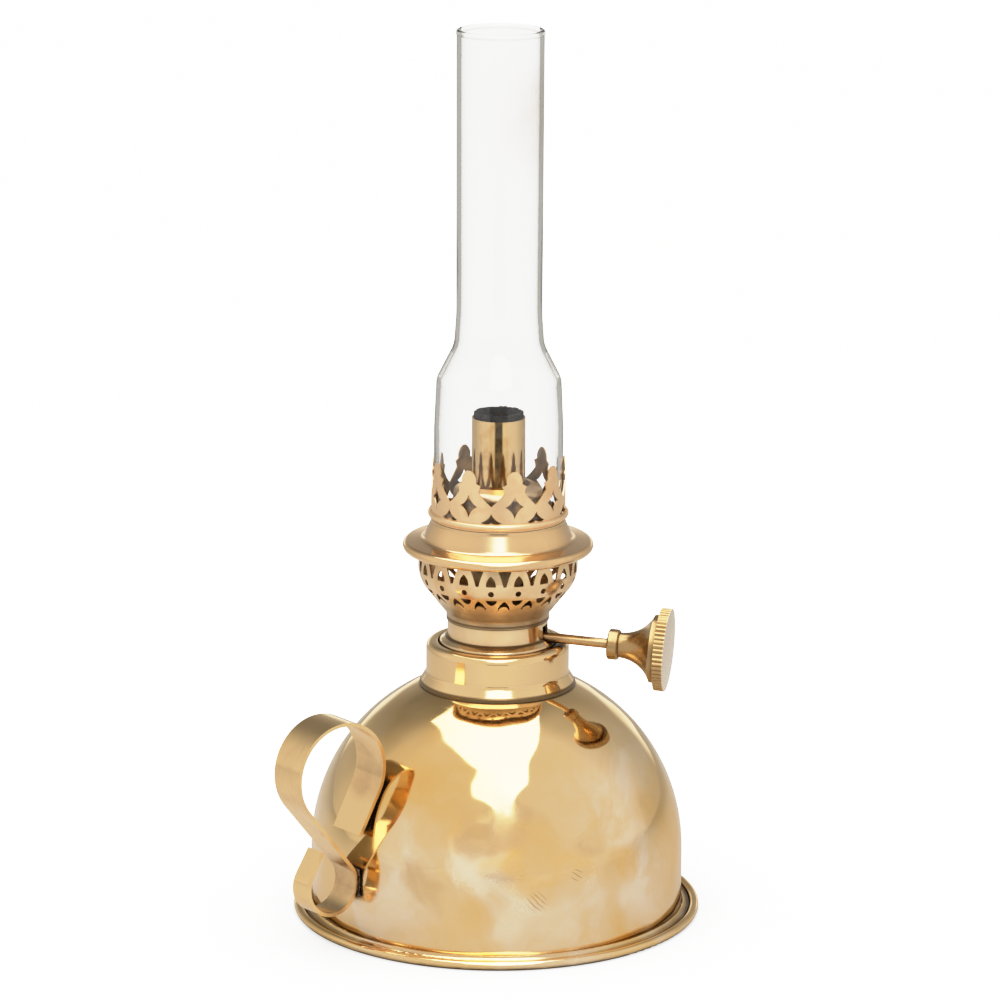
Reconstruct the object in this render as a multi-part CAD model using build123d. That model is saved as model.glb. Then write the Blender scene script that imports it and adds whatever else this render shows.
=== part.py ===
from build123d import *
import math
import os

# A brass hand lamp that burns lamp oil: a domed font on a flat base, a strap handle, and a
# screw-in burner that raises a tubular wick into a glass chimney.
# Millimetres, +Z up. The origin is on the lamp's axis, where the base stands on the table.
# The handle points along -X. Heights follow from the base up: each piece seats on the one below.

# Fits
solder_gap = 0.05
rest_gap = 0.05
spindle_clearance = 0.05
wick_clearance = 0.15
thread_clearance = 0.15
chimney_clearance = 0.4

# Base and font
base_sheet = 0.8
rim_bead_radius = 1.25
rim_gap = 0.25
font_sheet = 0.8
font_radius = 51.1
font_centre_height = 17.5
foot_width = 2.1
foot_bend = 1.2

# Neck collar
collar_lip_radius = 21.2
collar_lip_height = 0.9
collar_flare_height = 3.6
collar_wall_radius = 19.55
collar_height = 12.15
collar_crest_round = 1.9
collar_mouth_round = 0.7
collar_step_depth = 1.0
collar_sheet = 0.9
collar_spigot_depth = 0.6

# Strap handle
strap_width = 11.5
strap_tip_width = 6.0
strap_thickness = 1.0
strap_standoff = 0.3
loop_radius = 14.4
loop_contact_angle = 29.2
curl_radius = 8.0
curl_contact_angle = 0.5
strap_foot_length = 13.0
strap_tip_length = 7.5
strap_tip_angle = 30.0
strap_full_width_share = 0.33
solder_margin = 1.2
upper_solder_length = 11.0
lower_solder_half_height = 4.0

# Burner thread ring, winder housing and tube plate
thread_radius = 14.85
thread_length = 8.7
thread_wall = 1.7
housing_foot_radius = 15.9
housing_foot_height = 2.6
housing_foot_edge = 1.2
housing_foot_round = 0.9
housing_foot_gap = 0.3
housing_radius = 13.7
housing_wall = 0.6
housing_height = 4.6
tube_plate_thickness = 0.7
tube_plate_overhang = 0.35

# Perforated basket: each unit has an arch, an eye and a lens, with a wedge and a star between
basket_radius = 21.7
basket_wall = 0.5
basket_height = 20.95
basket_foot_height = 1.2
basket_cone_height = 9.7
basket_foot_round = 2.0
basket_belly_round = 9.5
basket_units = 18
basket_turn = -134.0
arch_rise = 2.6
arch_width = 2.6
arch_height = 3.0
arch_bow = 0.44
wedge_width = 3.8
wedge_tip_width = 0.8
wedge_height = 4.5
wedge_bow = -0.12
eye_rise = 0.5
eye_radius = 0.8
lens_drop = 1.5
lens_width = 3.0
lens_height = 1.8
lens_bow = 0.35
star_drop = 1.8
star_height = 3.1
star_width = 3.2
star_crotch = 1.25
star_leg_slant = 0.3
star_leg_end = 0.45
star_bow = 0.3

# Gallery, crown and air deflector
gallery_wall = 0.7
gallery_lip_radius = 25.95
gallery_lip_bead = 1.4
gallery_rim_drop = 0.5
gallery_flare_width = 2.1
gallery_flare_height = 4.9
gallery_flare_round = 1.6
gallery_neck_round = 1.2
gallery_neck_height = 1.0
gallery_shelf_round = 0.3
gallery_shelf_ledge = 0.2
crown_wall = 0.4
crown_height = 16.5
crown_lean = 0.2
crown_bead_foot = 0.3
crown_bead_height = 1.8
crown_bead_depth = 0.85
prong_count = 9
prong_turn = -115.0
prong_waist_width = 5.7
prong_shoulder_width = 6.8
prong_bulb_width = 4.2
prong_tip_width = 1.4
valley_height = 6.9
valley_bow = 0.12
waist_rise = 3.6
waist_bow = 0.21
shoulder_rise = 1.9
bulb_rise = 0.7
bulb_bow = 0.55
prong_star_drop = 0.1
prong_star_width = 5.0
prong_star_height = 6.2
prong_star_bow = 0.42
spade_rise = 2.05
spade_width = 5.6
spade_height = 3.0
spade_wing = 0.5
spade_bow = 0.4
deflector_wall = 0.5
deflector_radius = 12.3
deflector_shoulder_height = 8.3
deflector_height = 9.5
deflector_mouth_gap = 1.35
deflector_round = 2.2

# Wick and its two tubes
wick_tube_radius = 7.25
wick_tube_wall = 0.35
wick_tube_rise = 27.8
wick_tube_drop = 7.6
wick_thickness = 1.55
wick_rise = 1.8
wick_tail_height = 12.0
draft_tube_wall = 0.4
draft_tube_step = 0.5
snout_half_width = 3.2
snout_top_half_width = 1.2
snout_height = 10.0
snout_wall = 0.35
snout_base_rise = 4.0
draft_tube_floor_drop = 1.0
wick_lowering = 7.0
wick_slit_margin = 0.4

# Winder: spindle, star wheels and knob
spindle_azimuth = -50.0
spindle_droop = 3.0
spindle_rise = 0.95
spindle_offset = 1.5
spindle_radius = 1.35
spindle_tail = 3.4
bush_wall = 0.9
bush_start = 6.0
bush_end = 12.2
slot_clearance = 0.9
slot_drop = 1.2
slot_rise = 3.6
star_wheel_clearance = 0.12
star_wheel_thickness = 0.9
star_wheel_stations = (-2.2, -0.2)
star_wheel_teeth = 10
star_tooth_depth = 0.7
star_tooth_land = 0.15
knob_station = 31.0
ferrule_length = 3.0
ferrule_radius = 4.2
ferrule_chamfer = 0.35
knob_neck_radius = 3.45
knob_flare_length = 9.2
knob_flange_radius = 9.3
knob_flange_thickness = 1.4
knob_flare_bow = 1.6
knob_disc_gap = 0.2
knob_disc_radius = 11.3
knob_disc_thickness = 3.2
knob_disc_crown = 0.5
knurl_count = 56
knurl_depth = 0.28
knurl_land = 0.3

# Glass chimney
glass_wall = 1.25
chimney_base_radius = 17.5
chimney_height = 133.0
chimney_bulb_height = 25.0
chimney_shoulder_radius = 16.9
chimney_shoulder_height = 38.3
chimney_throat_radius = 12.2
chimney_throat_height = 47.6
chimney_tube_start_radius = 11.58
chimney_tube_start_height = 56.0
chimney_tube_radius = 11.75
chimney_shoulder_round = 5.0
chimney_throat_round = 9.0
chimney_lip_bead = 0.85

# Heights of the seats, from the table up
foot_top = base_sheet + font_sheet


def dome_height(radius):
    return font_centre_height + math.sqrt(font_radius**2 - radius**2)


collar_seat = dome_height(collar_lip_radius)
collar_top = collar_seat + collar_height
collar_step = collar_top - collar_step_depth
collar_bore = thread_radius + thread_clearance
collar_mouth = housing_foot_radius + housing_foot_gap
collar_spigot = collar_bore + collar_sheet
font_mouth = collar_spigot + solder_gap

housing_foot = collar_step + rest_gap
housing_bottom = housing_foot + housing_foot_height
housing_bore = housing_radius - housing_wall
housing_top = housing_bottom + housing_height
ring_seat = housing_foot - rest_gap
ring_bottom = ring_seat - thread_length
ring_bore = thread_radius - thread_wall
basket_bottom = housing_top + tube_plate_thickness
basket_top = basket_bottom + basket_height

crown_bore = chimney_base_radius + chimney_clearance
crown_radius = crown_bore + crown_wall
gallery_flare_radius = crown_radius + gallery_flare_width
lip_centre = gallery_lip_radius - gallery_lip_bead
rim_slope = gallery_rim_drop / (lip_centre - gallery_flare_radius)
rim_lid = gallery_wall * math.sqrt(1 + rim_slope**2)
flare_foot = basket_top + solder_gap + rim_lid + (basket_radius - gallery_flare_radius) * rim_slope
neck_bottom = flare_foot + gallery_flare_height
shelf_top = neck_bottom + gallery_neck_height
lip_height = flare_foot - gallery_rim_drop - gallery_lip_bead
crown_bottom = shelf_top + solder_gap
crown_top = crown_bottom + crown_height
chimney_foot = shelf_top + rest_gap
gallery_shelf_inner_radius = deflector_radius - deflector_wall - gallery_shelf_ledge
deflector_mouth_radius = wick_tube_radius + deflector_mouth_gap

wick_tube_bore = wick_tube_radius - wick_tube_wall
wick_tube_top = shelf_top + wick_tube_rise
wick_tube_bottom = housing_bottom - wick_tube_drop
wick_outer = wick_tube_bore - wick_clearance
wick_inner = wick_outer - wick_thickness
wick_top = wick_tube_top + wick_rise
draft_tube_radius = wick_inner - wick_clearance
draft_tube_bore = draft_tube_radius - draft_tube_wall
draft_tube_top = wick_tube_top - draft_tube_step
snout_bottom = basket_bottom + snout_base_rise
snout_top = snout_bottom + snout_height
draft_tube_bottom = snout_bottom - draft_tube_floor_drop

spindle_height = housing_bottom + spindle_rise
bush_radius = spindle_radius + spindle_clearance + bush_wall
spindle_frame = Plane(
    Location((0, 0, spindle_height), (0, 0, spindle_azimuth))
    * Location((0, -spindle_offset, 0), (0, 90 + spindle_droop, 0))
)
ferrule_end = knob_station + ferrule_length
flare_end = ferrule_end + knob_flare_length
knob_flange_end = flare_end + knob_flange_thickness
disc_start = knob_flange_end + knob_disc_gap
disc_end = disc_start + knob_disc_thickness
farthest_wheel = max(abs(station) for station in star_wheel_stations) + star_wheel_thickness / 2
wick_wall_at_wheel = math.sqrt(wick_inner**2 - farthest_wheel**2)
star_wheel_radius = wick_wall_at_wheel - spindle_offset - star_wheel_clearance


# Ways of forming a piece
def turned(*outline):
    # A solid turned from a closed outline of lines and arcs, drawn as (radius, height).
    return revolve(Plane.XZ * make_face(outline), Axis.Z)


def turned_corners(points, rounds):
    # As above from straight runs, with some corners rounded off: {corner number: radius}.
    face = make_face(Polyline(*points, close=True)).face()
    for corner, radius in rounds.items():
        vertex = face.vertices().sort_by_distance(points[corner])[0]
        face = face.fillet_2d(radius, [vertex])
    return revolve(Plane.XZ * face, Axis.Z)


def spun_sheet(points, bends, wall):
    # Spun sheet metal: the points follow its outer face upwards, and the wall is inside them.
    face = FilletPolyline(*points, radius=bends) if bends else Polyline(*points)
    section = offset(face, wall, kind=Kind.INTERSECTION, side=Side.LEFT, closed=True)
    return revolve(Plane.XZ * make_face(section), Axis.Z)


def tube(outer, inner, bottom, top):
    return turned(Polyline((inner, bottom), (outer, bottom), (outer, top), (inner, top), close=True))


def facing(azimuth):
    # An upright drawing plane through the axis, whose X is sideways and whose Y is height.
    return Plane.XZ.rotated((0, 0, azimuth + 90))


def radial_cut(outline, azimuth, start, end):
    # A prism along the radius at this azimuth, from one radius to another.
    sketch = facing(azimuth) * Pos(0, 0, start) * make_face(outline)
    return extrude(sketch, amount=end - start)


def on_spindle(shape):
    return spindle_frame * shape


def point_at(centre, radius, angle):
    along = math.radians(angle)
    return (centre[0] + radius * math.cos(along), centre[1] + radius * math.sin(along))


# Base plate: a flat disc with its edge rolled up into a bead
def make_base_plate():
    bead_centre = font_radius + foot_width + rim_gap + rim_bead_radius
    bead_drop = rim_bead_radius - base_sheet
    bead_inner = bead_centre - math.sqrt(rim_bead_radius**2 - bead_drop**2)
    return turned(
        Line((0, 0), (bead_centre, 0)),
        ThreePointArc(
            (bead_centre, 0), (bead_centre + rim_bead_radius, rim_bead_radius), (bead_inner, base_sheet)
        ),
        Polyline((bead_inner, base_sheet), (0, base_sheet), (0, 0)),
    )


# Font: a spun dome on an upright skirt, open below and at the mouth
def make_font_bowl():
    foot = FilletPolyline(
        (font_radius + foot_width, foot_top),
        (font_radius, foot_top),
        (font_radius, font_centre_height),
        radius=foot_bend,
    )
    mouth_angle = math.degrees(math.acos(font_mouth / font_radius))
    dome = CenterArc((0, font_centre_height), font_radius, 0, mouth_angle)
    wall = offset(Curve() + [foot, dome], font_sheet, side=Side.LEFT, closed=True)
    mouth = Cylinder(font_mouth, 4 * font_radius)
    return revolve(Plane.XZ * make_face(wall), Axis.Z) - mouth


# Collar: sits on the dome, with a step for the burner's flange and a bore for its thread
def make_neck_collar():
    inside = collar_wall_radius - collar_sheet
    crown_inside = collar_step - collar_sheet
    points = [
        (collar_bore, dome_height(font_mouth) - font_sheet - collar_spigot_depth),
        (collar_bore, collar_step),
        (collar_mouth, collar_step),
        (collar_mouth, collar_top),
        (collar_wall_radius, collar_top),
        (collar_wall_radius, collar_seat + collar_flare_height),
        (collar_lip_radius, collar_seat + collar_lip_height),
        (collar_lip_radius, collar_seat - collar_lip_height),
        (inside, collar_seat - collar_lip_height),
        (inside, crown_inside),
        (collar_spigot, crown_inside),
        (collar_spigot, dome_height(font_mouth) - font_sheet - collar_spigot_depth),
    ]
    rounds = {3: collar_mouth_round, 4: collar_crest_round, 5: collar_flare_height / 2}
    blank = turned_corners(points, rounds)
    dome = Pos(0, 0, font_centre_height) * Sphere(font_radius + solder_gap)
    dome -= Cylinder(font_mouth, 4 * font_radius)
    return blank - dome


# Handle: one tapering strap bent into a finger loop and a curl, both tangent to the dome
dome_centre = (0, font_centre_height)
loop_centre = point_at(dome_centre, font_radius + strap_standoff + loop_radius, loop_contact_angle)
curl_centre = point_at(dome_centre, font_radius + strap_standoff + curl_radius, curl_contact_angle)


def strap_path():
    loop_bend = loop_radius - strap_thickness / 2
    curl_bend = curl_radius - strap_thickness / 2
    apart = math.dist(loop_centre, curl_centre)
    towards_curl = math.degrees(
        math.atan2(curl_centre[1] - loop_centre[1], curl_centre[0] - loop_centre[0])
    )
    heading = towards_curl - math.degrees(math.asin((loop_bend + curl_bend) / apart))
    loop_start = 180 + loop_contact_angle
    loop_end = heading + 90
    curl_start = heading + 270
    curl_end = 360 + strap_tip_angle
    foot_bend_point = point_at(loop_centre, loop_bend, loop_start)
    tip_bend_point = point_at(curl_centre, curl_bend, curl_end)
    path = Wire(
        [
            Line(point_at(foot_bend_point, strap_foot_length, loop_start + 90), foot_bend_point).edge(),
            CenterArc(loop_centre, loop_bend, loop_start, loop_end - loop_start).edge(),
            Line(
                point_at(loop_centre, loop_bend, loop_end), point_at(curl_centre, curl_bend, curl_start)
            ).edge(),
            CenterArc(curl_centre, curl_bend, curl_start, curl_end - curl_start).edge(),
            Line(tip_bend_point, point_at(tip_bend_point, strap_tip_length, curl_end + 90)).edge(),
        ]
    )
    return (Plane.XZ * path).rotate(Axis.Z, 180)


def make_handle():
    path = strap_path()

    def section(share, width):
        return Plane(path @ share, x_dir=(0, 1, 0), z_dir=path % share) * Rectangle(width, strap_thickness)

    sections = [
        section(0, strap_width),
        section(strap_full_width_share, strap_width),
        section(1, strap_tip_width),
    ]
    return sweep(sections, path=path, multisection=True)


# Solder pads between the strap and the dome
def solder_blank(middle, angle, length, width, depth):
    # A block against the dome at this angle up from the skirt's top, in the handle's plane.
    block = Pos(-middle[0], 0, middle[1]) * Rot(0, angle, 0) * Box(depth, width, length)
    return block - Pos(0, 0, font_centre_height) * Sphere(font_radius + solder_gap)


def bent_round(centre, radius):
    return Pos(-centre[0], 0, centre[1]) * Rot(90, 0, 0) * Cylinder(radius + solder_gap, 2 * strap_width)


def make_upper_solder():
    foot_start = point_at(loop_centre, loop_radius + solder_gap, 180 + loop_contact_angle)
    middle = point_at(foot_start, upper_solder_length / 2, 270 + loop_contact_angle)
    depth = 2 * strap_thickness
    pad_middle = point_at(middle, depth / 2, 180 + loop_contact_angle)
    pad_width = strap_width - 2 * solder_margin
    return solder_blank(pad_middle, loop_contact_angle, upper_solder_length, pad_width, depth)


def make_lower_solder():
    depth = strap_standoff + curl_radius - math.sqrt(curl_radius**2 - lower_solder_half_height**2)
    middle = point_at(dome_centre, font_radius + depth / 2, curl_contact_angle)
    pad = solder_blank(
        middle, curl_contact_angle, 2 * lower_solder_half_height, strap_tip_width, depth
    )
    return pad - bent_round(curl_centre, curl_radius)


# Thread ring: the band that screws into the collar
def make_burner_thread_ring():
    return tube(thread_radius, ring_bore, ring_bottom, ring_seat)


# Winder housing: its beaded foot seats on the collar, and a slot lets the spindle out
def spindle_slot():
    half_width = spindle_radius + slot_clearance
    bottom = spindle_height - spindle_radius - slot_drop
    outline = Polyline(
        (-half_width, bottom),
        (half_width, bottom),
        (half_width, housing_bottom + slot_rise),
        (-half_width, housing_bottom + slot_rise),
        close=True,
    )
    slot = radial_cut(outline, 0, housing_bore - housing_wall, 2 * housing_foot_radius)
    return Rot(0, 0, spindle_azimuth) * Pos(0, -spindle_offset, 0) * slot


def make_winder_housing():
    points = [
        (housing_bore, housing_foot),
        (housing_foot_radius, housing_foot),
        (housing_foot_radius, housing_foot + housing_foot_edge),
        (housing_radius, housing_bottom),
        (housing_radius, housing_top),
        (housing_bore, housing_top),
    ]
    return turned_corners(points, {2: housing_foot_round}) - spindle_slot()


# Tube plate: closes the housing, carries the basket on its rim and holds the outer wick tube
tube_plate_radius = housing_radius + tube_plate_overhang


def make_tube_plate():
    return tube(tube_plate_radius, wick_tube_radius + solder_gap, housing_top, basket_bottom)


# Pierced ornament, drawn as (sideways, height); a bow is how far a curved side leaves a straight one
def pointed_outline(width, base, tip, bow, tip_width=0):
    # Straight across the base, with two sides that bow outwards on their way to the tip.
    outward = math.copysign(1, base - tip) * bow
    half = width / 2
    tip_half = tip_width / 2
    outline = [
        Line((-half, base), (half, base)),
        SagittaArc((half, base), (tip_half, tip), outward),
        SagittaArc((-tip_half, tip), (-half, base), outward),
    ]
    if tip_width:
        outline.append(Line((tip_half, tip), (-tip_half, tip)))
    return outline


def legged_star(top):
    # A point above and two spread legs below.
    foot = top - star_height
    leg_side = (star_width / 2, foot + star_leg_end)
    leg_end = (star_width / 2 - star_leg_slant, foot)
    half = [SagittaArc((0, top), leg_side, star_bow), Line(leg_side, leg_end)]
    crotch = ThreePointArc(leg_end, (0, foot + star_crotch), (-leg_end[0], foot))
    return half + [mirror(edge, about=Plane.YZ) for edge in half] + [crotch]


def four_point_star(middle):
    half_width = prong_star_width / 2
    half_height = prong_star_height / 2
    tips = [
        (half_width, middle),
        (0, middle + half_height),
        (-half_width, middle),
        (0, middle - half_height),
    ]
    return [SagittaArc(tips[side - 1], tips[side], prong_star_bow) for side in range(4)]


def spade(foot):
    wing = (spade_width / 2, foot + spade_wing)
    half = [
        SagittaArc((0, foot + spade_height), wing, -spade_bow),
        SagittaArc(wing, (0, foot + spade_wing), spade_bow),
    ]
    return half + [mirror(edge, about=Plane.YZ) for edge in half]


def prong_gap():
    # The gap between two prongs, from the valley up past their tips.
    half_pitch = crown_radius * math.sin(math.pi / prong_count)
    valley = crown_bottom + valley_height
    waist = (half_pitch - prong_waist_width / 2, valley + waist_rise)
    shoulder = (half_pitch - prong_shoulder_width / 2, waist[1] + shoulder_rise)
    bulb = (half_pitch - prong_bulb_width / 2, shoulder[1] + bulb_rise)
    tip = (half_pitch - prong_tip_width / 2, crown_top)
    above = (tip[0], crown_top + crown_height)
    half = [
        SagittaArc((0, valley), waist, -valley_bow),
        SagittaArc(waist, shoulder, -waist_bow),
        Line(shoulder, bulb),
        SagittaArc(bulb, tip, bulb_bow),
        Line(tip, above),
        Line(above, (0, above[1])),
    ]
    return half + [mirror(edge, about=Plane.YZ) for edge in half]


def pierce(sheet, outlines, count, azimuth, start, end):
    # Each outline is cut through the sheet at equal steps round the axis, from one radius outwards.
    cuts = []
    for outline in outlines:
        first = radial_cut(outline, azimuth, start, end)
        cuts += [first.rotate(Axis.Z, 360 / count * step) for step in range(count)]
    return sheet - cuts


# Basket: a spun bowl with rows of pierced holes that let the air in
def make_burner_basket():
    belly = basket_bottom + basket_foot_height + basket_cone_height
    points = [
        (tube_plate_radius, basket_bottom),
        (tube_plate_radius, basket_bottom + basket_foot_height),
        (basket_radius, belly),
        (basket_radius, basket_top),
    ]
    bowl = spun_sheet(points, [basket_foot_round, basket_belly_round], basket_wall)
    arch_foot = belly + arch_rise
    lens_top = belly - lens_drop
    in_unit = [
        pointed_outline(arch_width, arch_foot, arch_foot + arch_height, arch_bow),
        [CenterArc((0, belly + eye_rise), eye_radius, 0, 360)],
        pointed_outline(lens_width, lens_top, lens_top - lens_height, lens_bow),
    ]
    between = [
        pointed_outline(wedge_width, arch_foot + wedge_height, arch_foot, wedge_bow, wedge_tip_width),
        legged_star(belly - star_drop),
    ]
    reach = basket_radius + basket_wall
    bowl = pierce(bowl, in_unit, basket_units, basket_turn, housing_radius, reach)
    return pierce(bowl, between, basket_units, basket_turn + 180 / basket_units, housing_radius, reach)


# Gallery: a shelf that carries crown and chimney, over a flare and a nearly flat rim with a beaded lip
def make_gallery_flange():
    points = [
        (lip_centre, lip_height + gallery_lip_bead),
        (gallery_flare_radius, flare_foot),
        (crown_radius, neck_bottom),
        (crown_radius, shelf_top),
        (gallery_shelf_inner_radius, shelf_top),
    ]
    bends = [gallery_flare_round, gallery_neck_round, gallery_shelf_round]
    sheet = spun_sheet(points, bends, gallery_wall)
    return sheet + Pos(0, 0, lip_height) * Torus(lip_centre, gallery_lip_bead)


# Crown: a beaded band cut into springy prongs, pierced with four-point stars and spades
def make_chimney_crown():
    bead_foot = crown_bottom + crown_bead_foot
    bead_top = bead_foot + crown_bead_height
    band = turned(
        Polyline((crown_bore, crown_bottom), (crown_radius, crown_bottom), (crown_radius, bead_foot)),
        ThreePointArc(
            (crown_radius, bead_foot),
            (crown_radius + crown_bead_depth, (bead_foot + bead_top) / 2),
            (crown_radius, bead_top),
        ),
        Polyline(
            (crown_radius, bead_top),
            (crown_radius - crown_lean, crown_top),
            (crown_bore - crown_lean, crown_top),
            (crown_bore, crown_bottom),
        ),
    )
    star_middle = crown_bottom + valley_height - prong_star_drop
    between = [prong_gap(), spade(crown_bottom + spade_rise)]
    inside = deflector_radius
    reach = crown_radius + crown_bead_depth
    band = pierce(band, [four_point_star(star_middle)], prong_count, prong_turn, inside, reach)
    return pierce(band, between, prong_count, prong_turn + 180 / prong_count, inside, reach)


# Air deflector: a cup with an open mouth that throws the draught onto the flame
def make_air_deflector():
    points = [
        (deflector_radius, shelf_top + solder_gap),
        (deflector_radius, shelf_top + deflector_shoulder_height),
        (deflector_mouth_radius, shelf_top + deflector_height),
    ]
    return spun_sheet(points, [deflector_round], deflector_wall)


# Wick tubes: the wick slides between them, slit where the inner tube draws its air from the side
def snout_outline(margin):
    low = snout_half_width + margin
    high = snout_top_half_width + margin
    return Polyline(
        (-low, snout_bottom - margin),
        (low, snout_bottom - margin),
        (high, snout_top + margin),
        (-high, snout_top + margin),
        close=True,
    )


def make_outer_wick_tube():
    body = tube(wick_tube_radius, wick_tube_bore, wick_tube_bottom, wick_tube_top)
    window = radial_cut(snout_outline(solder_gap), spindle_azimuth, 0, 2 * wick_tube_radius)
    bush_hole = on_spindle(Pos(0, 0, wick_tube_radius) * Cylinder(bush_radius + solder_gap, 4 * bush_wall))
    return body - window - bush_hole


def make_inner_draft_tube():
    pipe = tube(draft_tube_radius, draft_tube_bore, draft_tube_bottom, draft_tube_top)
    floor = tube(draft_tube_bore, 0, draft_tube_bottom, draft_tube_bottom + draft_tube_wall)
    duct = radial_cut(snout_outline(0), spindle_azimuth, 0, 2 * wick_tube_radius)
    duct &= tube(wick_tube_radius, draft_tube_bore, draft_tube_bottom, draft_tube_top)
    passage = radial_cut(snout_outline(-snout_wall), spindle_azimuth, 0, 2 * wick_tube_radius)
    return pipe + floor + duct - passage


def make_wick():
    sleeve = tube(wick_outer, wick_inner, wick_tail_height, wick_top)
    taper = (snout_half_width - snout_top_half_width) / snout_height
    wide = snout_half_width + wick_slit_margin + taper * wick_lowering
    apex = snout_bottom + wide / taper
    outline = Polyline(
        (-wide, 0),
        (wide, 0),
        (wide, snout_bottom),
        (0, apex),
        (-wide, snout_bottom),
        close=True,
    )
    slit = radial_cut(outline, spindle_azimuth, 0, 2 * wick_outer)
    return sleeve - slit


# Winder: spindle with two star wheels at the wick, and the knob outside
def make_winder_spindle():
    rod = Pos(0, 0, -spindle_tail) * Cylinder(
        spindle_radius, disc_start + spindle_tail, align=(Align.CENTER, Align.CENTER, Align.MIN)
    )
    return on_spindle(rod)


def make_spindle_bush():
    bush = tube(bush_radius, spindle_radius + spindle_clearance, bush_start, bush_end)
    return on_spindle(bush)


def toothed_disc(radius, depth, teeth, land):
    # A flat face whose rim has straight-sided teeth; the land is the flat share of each tooth.
    pitch = 360 / teeth
    points = []
    for tooth in range(teeth):
        points.append(point_at((0, 0), radius, pitch * (tooth - land / 2)))
        points.append(point_at((0, 0), radius, pitch * (tooth + land / 2)))
        points.append(point_at((0, 0), radius - depth, pitch * (tooth + 0.5)))
    return make_face(Polyline(*points, close=True))


def make_wick_star_wheels():
    star = toothed_disc(star_wheel_radius, star_tooth_depth, star_wheel_teeth, star_tooth_land)
    star -= Circle(spindle_radius + solder_gap)
    wheels = [
        Pos(0, 0, station - star_wheel_thickness / 2) * extrude(star, amount=star_wheel_thickness)
        for station in star_wheel_stations
    ]
    return on_spindle(Part() + wheels)


def make_spindle_ferrule():
    bore = spindle_radius + solder_gap
    edge = ferrule_radius - ferrule_chamfer
    return on_spindle(
        turned(
            Polyline(
                (bore, knob_station),
                (edge, knob_station),
                (ferrule_radius, knob_station + ferrule_chamfer),
                (ferrule_radius, ferrule_end - ferrule_chamfer),
                (edge, ferrule_end),
                (bore, ferrule_end),
                close=True,
            )
        )
    )


def make_knob_stem():
    # The trumpet-shaped stem behind the disc.
    bore = spindle_radius + solder_gap
    start = ferrule_end + solder_gap
    rim = (knob_flange_radius, flare_end)
    rim_end = (knob_flange_radius, knob_flange_end)
    stem = turned(
        Polyline(rim, rim_end, (bore, knob_flange_end), (bore, start), (knob_neck_radius, start)),
        SagittaArc((knob_neck_radius, start), rim, knob_flare_bow),
    )
    return on_spindle(stem)


def make_knob_disc():
    knurl = toothed_disc(knob_disc_radius, knurl_depth, knurl_count, knurl_land)
    disc = Pos(0, 0, disc_start) * extrude(knurl, amount=knob_disc_thickness)
    crown_sphere = (knob_disc_radius**2 + knob_disc_crown**2) / (2 * knob_disc_crown)
    trim = Pos(0, 0, disc_end - crown_sphere) * Sphere(crown_sphere)
    return on_spindle(disc & trim)


# Chimney: a blown tube with a wide foot, a shoulder and a fire-polished lip
def make_chimney():
    lip_height_on_glass = chimney_height - chimney_lip_bead
    points = [
        (chimney_base_radius, 0),
        (chimney_base_radius, chimney_bulb_height),
        (chimney_shoulder_radius, chimney_shoulder_height),
        (chimney_throat_radius, chimney_throat_height),
        (chimney_tube_start_radius, chimney_tube_start_height),
        (chimney_tube_radius, lip_height_on_glass),
    ]
    bends = [
        chimney_bulb_height,
        chimney_shoulder_round,
        chimney_throat_round,
        chimney_tube_start_height,
    ]
    wall = spun_sheet(points, bends, glass_wall)
    lip = Torus(chimney_tube_radius - glass_wall / 2, chimney_lip_bead)
    return Pos(0, 0, chimney_foot) * (wall + Pos(0, 0, lip_height_on_glass) * lip)


pieces = {
    "base_plate": make_base_plate(),
    "font_bowl": make_font_bowl(),
    "neck_collar": make_neck_collar(),
    "strap_handle": make_handle(),
    "upper_handle_solder": make_upper_solder(),
    "lower_handle_solder": make_lower_solder(),
    "burner_thread_ring": make_burner_thread_ring(),
    "winder_housing": make_winder_housing(),
    "tube_plate": make_tube_plate(),
    "burner_basket": make_burner_basket(),
    "gallery_flange": make_gallery_flange(),
    "chimney_crown": make_chimney_crown(),
    "air_deflector": make_air_deflector(),
    "outer_wick_tube": make_outer_wick_tube(),
    "inner_draft_tube": make_inner_draft_tube(),
    "wick": make_wick(),
    "winder_spindle": make_winder_spindle(),
    "spindle_bush": make_spindle_bush(),
    "wick_star_wheels": make_wick_star_wheels(),
    "spindle_ferrule": make_spindle_ferrule(),
    "knob_stem": make_knob_stem(),
    "knob_disc": make_knob_disc(),
    "chimney": make_chimney(),
}

os.makedirs("parts", exist_ok=True)
for name, piece in pieces.items():
    export_step(piece, f"parts/{name}.step")
    print(name, round(piece.volume, 1))
print("spindle passes", spindle_frame.origin, "along", spindle_frame.z_dir)
print("wick rise per radian of knob", round(star_wheel_radius, 3))
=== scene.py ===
# %% [markdown]
# # A small brass oil lamp
# The lamp is already built as a set of exact pieces: a domed font, a strap handle, a screw-in burner
# and a glass chimney. This lesson loads those pieces as a fixed frame and gives them their looks.
# The frame decides every size and place, so the pieces are never moved here, only finished.

# %% Load the frame
import math
import random

import bmesh
import bpy
from mathutils import Matrix, Vector, noise


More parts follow.
